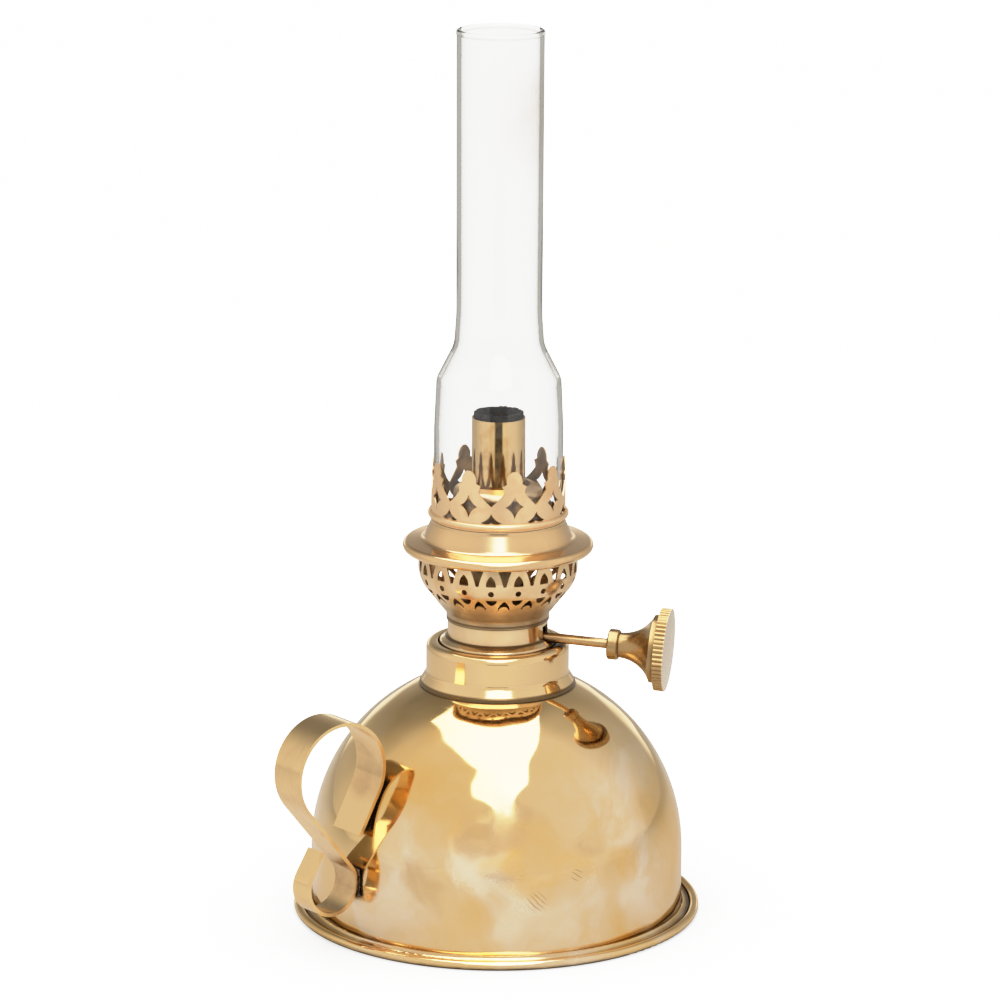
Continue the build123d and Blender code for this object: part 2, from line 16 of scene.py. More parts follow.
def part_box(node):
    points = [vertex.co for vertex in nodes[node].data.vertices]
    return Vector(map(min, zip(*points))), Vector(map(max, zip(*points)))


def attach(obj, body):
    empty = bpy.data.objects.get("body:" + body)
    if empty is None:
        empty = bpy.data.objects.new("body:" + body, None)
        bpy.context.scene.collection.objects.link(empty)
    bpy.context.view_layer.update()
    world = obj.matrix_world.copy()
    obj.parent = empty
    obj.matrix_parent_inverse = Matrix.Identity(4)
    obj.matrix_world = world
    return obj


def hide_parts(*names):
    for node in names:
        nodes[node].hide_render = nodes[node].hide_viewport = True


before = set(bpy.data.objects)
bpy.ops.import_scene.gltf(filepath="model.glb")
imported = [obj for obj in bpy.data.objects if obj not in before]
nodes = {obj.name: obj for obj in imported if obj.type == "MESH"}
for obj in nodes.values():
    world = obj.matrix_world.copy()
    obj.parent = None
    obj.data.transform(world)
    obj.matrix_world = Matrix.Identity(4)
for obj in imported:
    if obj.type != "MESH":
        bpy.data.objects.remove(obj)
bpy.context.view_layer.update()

# %% [markdown]
# ## The camera
# A product picture of a small lamp is taken from a distance with a long lens, so that upright lines stay
# upright. The camera stands 1.29 m from the lamp's axis and looks 14 degrees down.
# A camera in Blender looks along its own -Z, so it is first tipped up about X and then turned about Z.

# %% Place the camera
lens_length = 176.4
camera_place = (-0.811, -1.0015, 0.43904)
turn_angle, tip_angle, roll_angle = -39.02, 75.9, 0.3
scene = bpy.context.scene
camera = bpy.data.objects.new("camera", bpy.data.cameras.new("camera"))
camera.data.lens = lens_length
camera.data.clip_end = 50
turn = Matrix.Rotation(math.radians(turn_angle), 4, "Z")
tip = Matrix.Rotation(math.radians(tip_angle), 4, "X")
roll = Matrix.Rotation(math.radians(roll_angle), 4, "Z")
camera.matrix_world = Matrix.Translation(camera_place) @ turn @ tip @ roll
scene.collection.objects.link(camera)
scene.camera = camera
print("camera at", tuple(camera.location))

# %% [markdown]
# ## The exposure
# A camera doesn't cut bright light off at white: it bends it over, so a strong reflection on brass goes
# cream before it goes white. Blender's Standard view cuts off, and the filmic views grey the paper.
# A short curve in front of the Standard view does what is needed: it runs straight up to the mid tones
# and then bends over into a shoulder.

# %% Bend the highlights
full_white = 2.4
shoulder = ((0.2, 0.21), (0.45, 0.5), (0.65, 0.73), (0.85, 0.845), (1.2, 0.925), (1.8, 0.975))
scene.view_settings.view_transform = "Standard"
scene.view_settings.use_curve_mapping = True
exposure_curve = scene.view_settings.curve_mapping
exposure_curve.white_level = (full_white, full_white, full_white)
all_colours = exposure_curve.curves[3]
for light_in, light_out in shoulder:
    all_colours.points.new(light_in / full_white, light_out)
exposure_curve.update()
print("white is reached at", full_white)

# %% [markdown]
# ## Helpers
# Every look in this lesson is a small network of shader nodes. Added one by one, each node takes
# several lines and hides what the network does, so a few short helpers add a node, link it and hand
# back the socket that is wanted.

# %% Helpers for shader nodes
def feed(tree, socket, value):
    """Links a socket to another one, or sets its value."""
    if isinstance(value, bpy.types.NodeSocket):
        tree.links.new(value, socket)
    else:
        socket.default_value = value


def add(tree, kind, inputs=(), **settings):
    """A new shader node with these settings, and inputs given by name or number."""
    node = tree.nodes.new("ShaderNode" + kind)
    for name, value in settings.items():
        setattr(node, name, value)
    for key, value in dict(inputs).items():
        feed(tree, node.inputs[key], value)
    return node


def maths(tree, operation, *values):
    node = add(tree, "Math", enumerate(values), operation=operation)
    return node.outputs[0]


def spread(tree, value, low, high, to_low=0.0, to_high=1.0, smooth=False):
    """Stretches the part of a value between low and high over a new range."""
    inputs = {"Value": value, "From Min": low, "From Max": high, "To Min": to_low, "To Max": to_high}
    steps = "SMOOTHSTEP" if smooth else "LINEAR"
    return add(tree, "MapRange", inputs, interpolation_type=steps).outputs["Result"]


def blend_colours(tree, factor, first, second):
    node = add(tree, "Mix", {0: factor, 6: first, 7: second}, data_type="RGBA")
    return node.outputs[2]


def reach_along(tree, vector, direction):
    """How far a vector goes in a direction."""
    inputs = {0: vector, 1: direction}
    return add(tree, "VectorMath", inputs, operation="DOT_PRODUCT").outputs["Value"]


def vector_length(tree, vector):
    return add(tree, "VectorMath", {0: vector}, operation="LENGTH").outputs["Value"]


def distance(tree, first, second):
    return add(tree, "VectorMath", {0: first, 1: second}, operation="DISTANCE").outputs["Value"]


print("node helpers ready")

# %% [markdown]
# ## The studio
# Polished brass has no colour of its own to speak of: it shows the room. The room here is a white light
# tent, with a pale floor, even walls at the camera's side, dimmer ones behind the lamp and a bright
# sheet overhead whose front corner hangs out towards the camera. A dark gap in front of the tent is the
# stripe seen down the middle of the tubes. Walls could be built from planes, but a world that changes
# with direction does the same with less.

# %% Light tent
front_wall, far_wall, backdrop_wall = 0.73, 0.42, 1.1
away = Vector((0.6293, 0.7771, 0.0))
warm_white = (1, 0.965, 0.9, 1)
world = bpy.data.worlds.new("light tent")
world.use_nodes = True
scene.world = world
tree = world.node_tree
direction = add(tree, "TexCoord").outputs["Generated"]
height = add(tree, "SeparateXYZ", {0: direction}).outputs["Z"]
level = maths(tree, "SQRT", maths(tree, "SUBTRACT", 1.0, maths(tree, "MULTIPLY", height, height)))
behind = maths(tree, "DIVIDE", reach_along(tree, direction, away), level)
wall = spread(tree, behind, 0.05, 0.9, front_wall, far_wall)
left = reach_along(tree, direction, (-away.y, away.x, 0.0))
loss = maths(tree, "MULTIPLY", spread(tree, behind, 0.35, 0.85), spread(tree, height, 0.12, 0.5, 0.0, 0.5))
loss = maths(tree, "MULTIPLY", loss, spread(tree, left, -0.6, 0.2, 0.3, 1.0))
wall = maths(tree, "MULTIPLY", wall, maths(tree, "SUBTRACT", 1.0, loss))
backdrop = spread(tree, behind, 0.84, 0.94, smooth=True)
backdrop = maths(tree, "MULTIPLY", backdrop, spread(tree, height, 0.06, 0.22, 1.0, 0.0, smooth=True))
brightness = maths(tree, "ADD", wall, maths(tree, "MULTIPLY", backdrop, backdrop_wall - far_wall))
ray = add(tree, "LightPath").outputs
bounced = maths(tree, "ADD", ray["Glossy Depth"], ray["Diffuse Depth"])
through_glass = maths(tree, "SUBTRACT", maths(tree, "MINIMUM", ray["Transmission Depth"], 1.0), bounced)
brightness = maths(tree, "MAXIMUM", brightness, through_glass)
tree.nodes["Background"].inputs["Color"].default_value = warm_white
feed(tree, tree.nodes["Background"].inputs["Strength"], brightness)
print("tent walls at", front_wall, far_wall, backdrop_wall)

# %% [markdown]
# The rest of the studio is flat: a floor, a sheet and a gap. Each is one card with a matt paper on
# it, placed by its direction and distance from the lamp, with the camera's side as the zero
# direction.

# %% Studio cards
def card(name, corners, material):
    """A flat many-cornered sheet that belongs to the studio."""
    mesh = bpy.data.meshes.new(name)
    mesh.from_pydata(corners, [], [tuple(range(len(corners)))])
    mesh.materials.append(material)
    sheet = bpy.data.objects.new(name, mesh)
    scene.collection.objects.link(sheet)
    return sheet


def towards_camera(azimuth, far_off, height):
    """A point this far from the lamp's axis, turned in degrees from the camera's side."""
    angle = math.atan2(-away.y, -away.x) - math.radians(azimuth)
    return Vector((far_off * math.cos(angle), far_off * math.sin(angle), height))


def paper(name, colour, glow=0.0):
    """A matt studio surface that may glow."""
    material = bpy.data.materials.new(name)
    material.use_nodes = True
    shader = material.node_tree.nodes["Principled BSDF"]
    shader.inputs["Base Color"].default_value = (*colour, 1)
    shader.inputs["Roughness"].default_value = 0.9
    shader.inputs["Specular IOR Level"].default_value = 0.0
    shader.inputs["Emission Color"].default_value = (1, 1, 1, 1)
    shader.inputs["Emission Strength"].default_value = glow
    return material


print("cards are matt paper")

# %% [markdown]
# ### Floor
# The floor is pale paper that runs out to white in the picture. Lit evenly by lamps it would also be
# white in every reflection, and the lower half of the dome would lose its depth. So the paper glows
# by itself, fully where it is seen straight on and less where the metal mirrors it, which is painted
# light, and a painted contact shadow darkens it in the crease under the lamp.

# %% Floor
floor_grey, crease_reach = (0.54, 0.535, 0.52), 0.06


def floor_paper(near_glow, far_glow, seen_glow, glass_glow):
    """Paper that is even in far reflections, and white where it is seen straight or through glass."""
    material = paper("floor paper", floor_grey)
    tree = material.node_tree
    place = add(tree, "NewGeometry").outputs["Position"]
    gap = vector_length(tree, place)
    behind = maths(tree, "DIVIDE", reach_along(tree, place, away), gap)
    distant = spread(tree, behind, -0.4, 0.6, far_glow, near_glow, smooth=True)
    mirrored = spread(tree, gap, 0.1, 0.7, near_glow, distant, smooth=True)
    ray = add(tree, "LightPath").outputs
    seen = spread(tree, ray["Transmission Depth"], 0.0, 1.0, seen_glow, glass_glow)
    # Painted contact shadow: the seen glow is cut where ambient occlusion finds the lamp close by.
    open_sky = add(tree, "AmbientOcclusion", {"Distance": crease_reach}, samples=16).outputs["AO"]
    seen = maths(tree, "MULTIPLY", seen, spread(tree, open_sky, 0.45, 0.97, 0.3, 1.0))
    bounced = maths(tree, "MINIMUM", maths(tree, "ADD", ray["Glossy Depth"], ray["Diffuse Depth"]), 1.0)
    change = maths(tree, "MULTIPLY", bounced, maths(tree, "SUBTRACT", mirrored, seen))
    glow = tree.nodes["Principled BSDF"].inputs["Emission Strength"]
    feed(tree, glow, maths(tree, "ADD", seen, change))
    return material


floor_reach = 6.0
floor_corners = [(x * floor_reach, y * floor_reach, 0) for x, y in ((-1, -1), (1, -1), (1, 1), (-1, 1))]
near_glow, far_glow, seen_glow, glass_glow = 0.1, 0.38, 2.0, 1.0
card("floor", floor_corners, floor_paper(near_glow, far_glow, seen_glow, glass_glow))
print("floor reaches", floor_reach, "m each way")

# %% [markdown]
# ### Overhead sheet
# The bright patch on the dome is the mirror image of a lit cloth that hangs over the lamp. Its ragged
# front edge is part of the look, so the sheet's outline is given by direction and by the elevation at
# which the dome sees it.

# %% Overhead sheet
sheet_height, dome_height = 0.42, 0.05
cloth_white, sheet_glow = (0.8, 0.8, 0.8), 2.25
sheet_outline = (
    (180, 60), (122, 52), (61, 63), (24, 57), (18, 41), (2, 31), (-8, 31), (-28, 47), (-48, 63), (-126, 67),
)
sheet_corners = [
    towards_camera(azimuth, (sheet_height - dome_height) / math.tan(math.radians(elevation)), sheet_height)
    for azimuth, elevation in sheet_outline
]
overhead = card("overhead sheet", sheet_corners, paper("lit cloth", cloth_white, sheet_glow))
overhead.visible_camera = False
print("overhead sheet has", len(sheet_corners), "corners")

# %% [markdown]
# ### Dark gap
# The tent is open where the camera looks in, and polished tubes show that opening as a dark stripe
# down their middle. A dark card on the floor does it. It has soft edges, and only reflections show
# it: everything else sees the plain floor.

# %% Dark gap
def soft_shadow(colour, near, far):
    """A dark paper with soft edges, which only reflections show."""
    material = paper("shadow", colour)
    tree = material.node_tree
    place = add(tree, "NewGeometry").outputs["Position"]
    gap = vector_length(tree, place)
    ahead = reach_along(tree, place, -away)
    share = spread(tree, maths(tree, "DIVIDE", ahead, gap), 0.95, 0.97, smooth=True)
    share = maths(tree, "MULTIPLY", share, spread(tree, gap, near, near + 0.06, smooth=True))
    share = maths(tree, "MULTIPLY", share, spread(tree, gap, far * 0.5, far, 1.0, 0.0, smooth=True))
    mirrored = maths(tree, "MINIMUM", add(tree, "LightPath").outputs["Glossy Depth"], 1.0)
    clear = add(tree, "BsdfTransparent").outputs["BSDF"]
    dark = tree.nodes["Principled BSDF"].outputs["BSDF"]
    inputs = {0: maths(tree, "MULTIPLY", share, mirrored), 1: clear, 2: dark}
    surface = add(tree, "MixShader", inputs).outputs["Shader"]
    feed(tree, tree.nodes["Material Output"].inputs["Surface"], surface)
    return material


gap_near, gap_far, gap_angle, gap_lift = 0.38, 1.3, 19, 0.002
gap_colour = (0.05, 0.045, 0.04)
gap_corners = [
    towards_camera(side * gap_angle, far_off, gap_lift)
    for side, far_off in ((-1, gap_near), (1, gap_near), (1, gap_far), (-1, gap_far))
]
gap = card("dark gap", gap_corners, soft_shadow(gap_colour, gap_near, gap_far))
gap.visible_camera = False
gap.visible_shadow = False
gap.visible_diffuse = False
print("dark gap from", gap_near, "to", gap_far, "m")

# %% [markdown]
# ## Brass
# All the metal but the solder is brass, with different histories: the dome has been polished by hand for
# years and has gone cloudy in places, the burner was pressed from bright sheet, the strap was drawn.
# Painting each one apart would take as many materials as pieces, so the shared effects are node
# groups with named sockets, and each finish only sets how strongly they show.

# %% Helpers for node groups
def shader_group(name, inputs, outputs):
    """A node group, with its inputs as {name: default value} and its outputs by name."""
    tree = bpy.data.node_groups.new(name, "ShaderNodeTree")
    for label, value in inputs.items():
        kind = "NodeSocketVector" if value is None else "NodeSocketFloat"
        socket = tree.interface.new_socket(label, in_out="INPUT", socket_type=kind)
        if value is not None:
            socket.default_value = value
    for label in outputs:
        tree.interface.new_socket(label, in_out="OUTPUT", socket_type="NodeSocketFloat")
    return tree, tree.nodes.new("NodeGroupInput").outputs, tree.nodes.new("NodeGroupOutput").inputs


def use(tree, group, **inputs):
    node = tree.nodes.new("ShaderNodeGroup")
    node.node_tree = group
    for name, value in inputs.items():
        feed(tree, node.inputs[name], value)
    return node.outputs


def warped(tree, vector, scale, reach):
    """The vector, pushed about by a soft noise so that patterns on it swirl."""
    push = add(tree, "TexNoise", {"Vector": vector, "Scale": scale, "Detail": 3.0}).outputs["Color"]
    push = add(tree, "VectorMath", {0: push, 1: (0.5, 0.5, 0.5)}, operation="SUBTRACT").outputs[0]
    push = add(tree, "VectorMath", {0: push, "Scale": reach}, operation="SCALE").outputs[0]
    return add(tree, "VectorMath", {0: vector, 1: push}, operation="ADD").outputs[0]


print("group helpers ready")

# %% [markdown]
# ### Tarnish clouds
# Polished brass goes dull in soft patches where air and fingers reach it. Painting them by hand would
# fix them to one piece. A noise that is pushed about by a softer one gives the same drifting edges on
# every piece and at any scale.

# %% Tarnish clouds
def tarnish_clouds():
    """Soft patches where the polish has gone dull."""
    tree, given, result = shader_group(
        "Tarnish clouds", {"Vector": None, "Scale": 30.0, "Amount": 0.5, "Edge": 0.2}, ["Clouds"]
    )
    moved = warped(tree, given["Vector"], given["Scale"], 0.04)
    cloud = add(tree, "TexNoise", {"Vector": moved, "Scale": given["Scale"], "Detail": 6.0})
    low = maths(tree, "SUBTRACT", 0.75, maths(tree, "MULTIPLY", given["Amount"], 0.5))
    high = maths(tree, "ADD", low, given["Edge"])
    feed(tree, result["Clouds"], spread(tree, cloud.outputs["Fac"], low, high))
    return tree


clouds_group = tarnish_clouds()
print("group:", clouds_group.name)

# %% [markdown]
# ### Wiped haze
# Metal polish that dries before it is wiped off leaves a pale bloom, drawn out into swirls by the
# cloth. The bloom is a soft ball around one place, so that it can be put where the real lamp has it,
# and a streaky noise thins it out.

# %% Wiped haze
def wiped_haze():
    """A bloom left by polish that was never wiped off, around one place, drawn out into swirls."""
    tree, given, result = shader_group(
        "Wiped haze", {"Vector": None, "Place": None, "Reach": 0.02, "Swirl": 0.05}, ["Haze"]
    )
    moved = warped(tree, given["Vector"], 28.0, given["Swirl"])
    moved = warped(tree, moved, 90.0, maths(tree, "MULTIPLY", given["Swirl"], 0.2))
    gap = distance(tree, moved, given["Place"])
    near = spread(tree, maths(tree, "DIVIDE", gap, given["Reach"]), 0.3, 1.0, 1.0, 0.0, smooth=True)
    streaks = add(tree, "TexNoise", {"Vector": moved, "Scale": 55.0, "Detail": 5.0, "Roughness": 0.6})
    thin = spread(tree, streaks.outputs["Fac"], 0.34, 0.6, 0.15, 1.0)
    feed(tree, result["Haze"], maths(tree, "MULTIPLY", near, thin))
    return tree


haze_group = wiped_haze()
print("group:", haze_group.name)

# %% [markdown]
# ### Lathe lines
# The dome and most of the burner were spun and polished on a lathe, which leaves rings too fine to
# model. The noise is read by radius and height, and changes only slowly around the axis, so it draws
# out into rings.

# %% Lathe lines
def lathe_lines():
    """Fine rings left by spinning and polishing about the upright axis."""
    tree, given, result = shader_group("Lathe lines", {"Vector": None, "Per metre": 3000.0}, ["Lines"])
    parts = add(tree, "SeparateXYZ", {0: given["Vector"]})
    flat = add(tree, "CombineXYZ", {0: parts.outputs[0], 1: parts.outputs[1]})
    radius = vector_length(tree, flat.outputs[0])
    around = add(tree, "VectorMath", {0: flat.outputs[0]}, operation="NORMALIZE").outputs[0]
    around = add(tree, "SeparateXYZ", {0: around})
    rings = maths(tree, "MULTIPLY", radius, given["Per metre"])
    place = add(tree, "CombineXYZ", {0: around.outputs[0], 1: around.outputs[1], 2: rings})
    height = maths(tree, "MULTIPLY", parts.outputs[2], given["Per metre"])
    inputs = {"Vector": place.outputs[0], "W": height, "Scale": 1.0, "Detail": 2.0}
    lines = add(tree, "TexNoise", inputs, noise_dimensions="4D")
    feed(tree, result["Lines"], lines.outputs["Fac"])
    return tree


lathe_group = lathe_lines()
print("group:", lathe_group.name)

# %% [markdown]
# ### Corner grime and shade
# Seams and the undersides of edges are darkened: partly brown residue that a cloth doesn't reach, partly
# painted shade where little light gets in. Ambient occlusion tells how closed in a point is, and a noise
# breaks up the edge of the darkening.

# %% Corner grime and shade
def corner_grime_and_shade():
    """Darkening in seams and under edges: residue that polishing doesn't reach, and painted shade."""
    tree, given, result = shader_group(
        "Corner grime and shade", {"Vector": None, "Reach": 0.003, "Amount": 0.6}, ["Grime"]
    )
    open_sky = add(tree, "AmbientOcclusion", {"Distance": given["Reach"]}, samples=8)
    closed = maths(tree, "POWER", maths(tree, "SUBTRACT", 1.0, open_sky.outputs["AO"]), 1.5)
    patchy = add(tree, "TexNoise", {"Vector": given["Vector"], "Scale": 220.0, "Detail": 4.0})
    share = spread(tree, patchy.outputs["Fac"], 0.3, 0.7, 0.5, 1.0)
    grime_and_shade = maths(tree, "MULTIPLY", maths(tree, "MULTIPLY", closed, share), given["Amount"])
    feed(tree, result["Grime"], grime_and_shade)
    return tree


grime_and_shade_group = corner_grime_and_shade()
print("group:", grime_and_shade_group.name)

# %% [markdown]
# ### Hair scratches
# Years of wiping leave curved scratches as thin as a hair. A noise passes through its middle value
# along thin curved lines, so those lines serve as scratches, and a second noise breaks them into
# lengths.

# %% Hair scratches
def hair_scratches():
    """Thin curved scratches from years of wiping."""
    tree, given, result = shader_group("Hair scratches", {"Vector": None, "Scale": 60.0}, ["Scratches"])
    lines = []
    for shift in (0.0, 3.7):
        moved = add(tree, "VectorMath", {0: given["Vector"], 1: (shift, shift, shift)}, operation="ADD")
        inputs = {"Vector": moved.outputs[0], "Scale": given["Scale"], "Detail": 0.5, "Distortion": 0.6}
        field = add(tree, "TexNoise", inputs).outputs["Fac"]
        off_line = maths(tree, "ABSOLUTE", maths(tree, "SUBTRACT", field, 0.5))
        lines.append(spread(tree, off_line, 0.0, 0.004, 1.0, 0.0))
    patch = add(tree, "TexNoise", {"Vector": given["Vector"], "Scale": 45.0, "Detail": 2.0})
    broken = spread(tree, patch.outputs["Fac"], 0.5, 0.62)
    feed(tree, result["Scratches"], maths(tree, "MULTIPLY", maths(tree, "MAXIMUM", *lines), broken))
    return tree


scratch_group = hair_scratches()
print("group:", scratch_group.name)

# %% [markdown]
# ### Dimple
# The thin sheet has taken a few knocks. They are too shallow to change the outline, so each one is a
# dip in the bump height around its place.

# %% Dimple
def dimple():
    """One shallow knock in the sheet, as a height that dips around a place."""
    tree, given, result = shader_group(
        "Dimple", {"Vector": None, "Place": None, "Reach": 0.003}, ["Height"]
    )
    gap = distance(tree, given["Vector"], given["Place"])
    share = maths(tree, "DIVIDE", gap, given["Reach"])
    feed(tree, result["Height"], spread(tree, share, 0.0, 1.0, smooth=True))
    return tree


dimple_group = dimple()
print("group:", dimple_group.name)

# %% [markdown]
# ### Nicks
# Low on the dome are a few short cuts side by side. They are stripes at an even spacing, kept within
# reach of one place, and a noise lets them wander.

# %% Nicks
def nicks():
    """A few short parallel cuts around one place."""
    tree, given, result = shader_group(
        "Nicks", {"Vector": None, "Place": None, "Across": None, "Reach": 0.002}, ["Cuts"]
    )
    inputs = {0: given["Vector"], 1: given["Place"]}
    offset = add(tree, "VectorMath", inputs, operation="SUBTRACT").outputs[0]
    gap = vector_length(tree, offset)
    near = spread(tree, maths(tree, "DIVIDE", gap, given["Reach"]), 0.6, 1.0, 1.0, 0.0)
    across = reach_along(tree, offset, given["Across"])
    wander = add(tree, "TexNoise", {"Vector": offset, "Scale": 300.0, "Detail": 1.0}).outputs["Fac"]
    count = maths(tree, "ADD", maths(tree, "MULTIPLY", across, 900.0), wander)
    off_line = maths(tree, "ABSOLUTE", maths(tree, "SUBTRACT", maths(tree, "FRACT", count), 0.5))
    stripes = spread(tree, off_line, 0.05, 0.16, 1.0, 0.0)
    feed(tree, result["Cuts"], maths(tree, "MULTIPLY", near, stripes))
    return tree


nick_group = nicks()
print("group:", nick_group.name)

# %% [markdown]
# ### Ring line
# Where two spun pieces meet, a dark line of old polish runs right around. Ambient occlusion breaks up
# on so fine a line, so this one is measured: it is the distance from a circle of known radius and
# height.

# %% Ring line
def ring_line():
    """A thin dark ring where two spun pieces meet."""
    tree, given, result = shader_group(
        "Ring line", {"Vector": None, "Radius": 0.02, "Height": 0.0, "Width": 0.0005}, ["Line"]
    )
    parts = add(tree, "SeparateXYZ", {0: given["Vector"]}).outputs
    squares = [maths(tree, "MULTIPLY", parts[axis], parts[axis]) for axis in (0, 1)]
    outward = maths(tree, "SUBTRACT", maths(tree, "SQRT", maths(tree, "ADD", *squares)), given["Radius"])
    upward = maths(tree, "SUBTRACT", parts[2], given["Height"])
    squares = [maths(tree, "MULTIPLY", side, side) for side in (outward, upward)]
    gap = maths(tree, "DIVIDE", maths(tree, "SQRT", maths(tree, "ADD", *squares)), given["Width"])
    feed(tree, result["Line"], spread(tree, gap, 0.5, 1.0, 1.0, 0.0, smooth=True))
    return tree


ring_group = ring_line()
print("group:", ring_group.name)

# %% [markdown]
# ### Brushed lines
# The strap was drawn, which leaves straight lines along it. A noise that is squeezed in one direction
# and left long in the others gives those lines.

# %% Brushed lines
def brushed_lines():
    """Straight fine lines along one direction, made by squeezing a noise in the others."""
    tree, given, result = shader_group("Brushed lines", {"Vector": None, "Squeeze": None}, ["Lines"])
    squeezed = add(tree, "VectorMath", {0: given["Vector"], 1: given["Squeeze"]}, operation="MULTIPLY")
    inputs = {"Vector": squeezed.outputs[0], "Scale": 1.0, "Detail": 4.0, "Roughness": 0.65}
    lines = add(tree, "TexNoise", inputs)
    feed(tree, result["Lines"], lines.outputs["Fac"])
    return tree


brush_group = brushed_lines()
print("group:", brush_group.name)

# %% [markdown]
# ### One brass for all
# The brass pieces are told apart by polish and dirt. One function builds every finish from the
# groups: it mixes clean and dull metal, lays blooms, dirt and painted shade over the colour, makes them
# rougher, and ends with the bumps, from large dents to fine lines. The colours that several finishes
# share have names.

# %% Brass from the groups
clean_brass = (0.90, 0.65, 0.335, 1)
amber_brass = (0.88, 0.57, 0.215, 1)
hazy_brass = (0.92, 0.78, 0.60, 1)
pressed_brass = (0.95, 0.70, 0.42, 1)
grime_and_shade_brown = (0.10, 0.055, 0.02, 1)
pale_face_and_sheen = (0.85, 0.68, 0.46, 1)
leg_stain = (0.62, 0.40, 0.22, 1)
brown_smear = (0.70, 0.48, 0.24, 1)
slot_dirt_and_shade = (0.30, 0.18, 0.09, 1)
seam_reach = 0.002
dirt_and_shade_limit, nick_dirt, seam_dirt, dirt_and_shade_roughness = 0.92, 0.45, 0.85, 0.3
face_edge, face_gloss, darkening_fade = 0.0002, 0.2, 0.004
dimple_steepness, line_depth = 25, 0.0001


def brass(
    name, clean=clean_brass, dull=amber_brass, polish=0.1, haze=0.2,
    clouds=(28.0, 0.5), lines=(3000.0, 0.02), grime_and_shade=(0.003, 0.7), dents=(30.0, 0.0), scratches=0.0,
    blooms=(), swirl=0.05, dimples=(), cuts=(), seams=(), brush=None, darker_below=None, pale_and_sheen_beyond=None,
    seam_grime_and_shade=3.0,
):
    """A brass finish. Pairs are (scale, strength), grime_and_shade is (reach, strength), darker_below
    (height, strength).
    """
    material = bpy.data.materials.new(name)
    material.use_nodes = True
    tree = material.node_tree
    shader = tree.nodes["Principled BSDF"]
    shader.inputs["Metallic"].default_value = 1.0
    place = add(tree, "TexCoord").outputs["Object"]
    cloud = use(tree, clouds_group, Vector=place, Scale=clouds[0], Amount=clouds[1])["Clouds"]
    dirt_and_shade = use(tree, grime_and_shade_group, Vector=place, Reach=grime_and_shade[0], Amount=grime_and_shade[1])["Grime"]
    # Seams are darkened strongly: partly residue, partly painted shade.
    seam = use(tree, grime_and_shade_group, Vector=place, Reach=seam_reach, Amount=seam_grime_and_shade)["Grime"]
    dirt_and_shade = maths(tree, "MINIMUM", maths(tree, "MAXIMUM", dirt_and_shade, seam), dirt_and_shade_limit)
    hair = use(tree, scratch_group, Vector=place)["Scratches"]
    if brush:
        rings = use(tree, brush_group, Vector=place, Squeeze=brush)["Lines"]
        cloud = maths(tree, "MULTIPLY", cloud, spread(tree, rings, 0.35, 0.6, 0.4, 1.0))
    else:
        rings = use(tree, lathe_group, Vector=place, **{"Per metre": lines[0]})["Lines"]
    metal = blend_colours(tree, cloud, clean, dull)
    rough = spread(tree, cloud, 0.0, 1.0, polish, haze)
    for middle, reach, tint, matt in blooms:
        bloom = use(tree, haze_group, Vector=place, Place=middle, Reach=reach, Swirl=swirl)["Haze"]
        metal = blend_colours(tree, bloom, metal, tint)
        rough = maths(tree, "MAXIMUM", rough, maths(tree, "MULTIPLY", bloom, matt))
    for middle, across, reach in cuts:
        cut = use(tree, nick_group, Vector=place, Place=middle, Across=across, Reach=reach)["Cuts"]
        dirt_and_shade = maths(tree, "MAXIMUM", dirt_and_shade, maths(tree, "MULTIPLY", cut, nick_dirt))
    for radius, height, width in seams:
        ring = use(tree, ring_group, Vector=place, Radius=radius, Height=height, Width=width)["Line"]
        dirt_and_shade = maths(tree, "MAXIMUM", dirt_and_shade, maths(tree, "MULTIPLY", ring, seam_dirt))
    if pale_and_sheen_beyond:
        outward, face_place = pale_and_sheen_beyond
        face = spread(tree, reach_along(tree, place, outward), face_place - face_edge, face_place)
        # The face is paler: partly rubbed brass, partly a painted sheen of grazing light.
        metal = blend_colours(tree, face, metal, pale_face_and_sheen)
        feed(tree, shader.inputs["Coat Weight"], face)
        shader.inputs["Coat Roughness"].default_value = face_gloss
    if darker_below:
        height = add(tree, "SeparateXYZ", {0: place}).outputs["Z"]
        darkening_top, darkening_strength = darker_below
        # Darker towards the bottom, below a given height.
        darkening = spread(tree, height, darkening_top - darkening_fade, darkening_top, darkening_strength, 0.0)
        dirt_and_shade = maths(tree, "MAXIMUM", dirt_and_shade, darkening)
    # The brown laid over the metal here is dirt and painted shade together.
    feed(tree, shader.inputs["Base Color"], blend_colours(tree, dirt_and_shade, metal, grime_and_shade_brown))
    rough = maths(tree, "ADD", rough, maths(tree, "MULTIPLY", dirt_and_shade, dirt_and_shade_roughness))
    rough = maths(tree, "ADD", rough, maths(tree, "MULTIPLY", hair, scratches))
    feed(tree, shader.inputs["Roughness"], rough)
    wave = add(tree, "TexNoise", {"Vector": place, "Scale": dents[0], "Detail": 1.0}).outputs["Fac"]
    shape = add(tree, "Bump", {"Height": wave, "Distance": dents[1], "Strength": 1.0})
    for middle, reach in dimples:
        dip = use(tree, dimple_group, Vector=place, Place=middle, Reach=reach)["Height"]
        knocked = add(tree, "Bump", {"Height": dip, "Distance": reach / dimple_steepness, "Strength": 1.0})
        feed(tree, knocked.inputs["Normal"], shape.outputs["Normal"])
        shape = knocked
    ringed = add(tree, "Bump", {"Height": rings, "Distance": line_depth, "Strength": lines[1]})
    feed(tree, ringed.inputs["Normal"], shape.outputs["Normal"])
    feed(tree, shader.inputs["Normal"], ringed.outputs["Normal"])
    return material


print("brass finishes mix", clean_brass[:3], "and", amber_brass[:3])

# %% [markdown]
# ### Dome
# The dome is the lamp's largest mirror, so every trace shows: pale blooms where polish has dried,
# amber and brown patches above them, two knocks beside the handle and two groups of cuts. A noise
# alone would drop them anywhere, so each one has its own place.

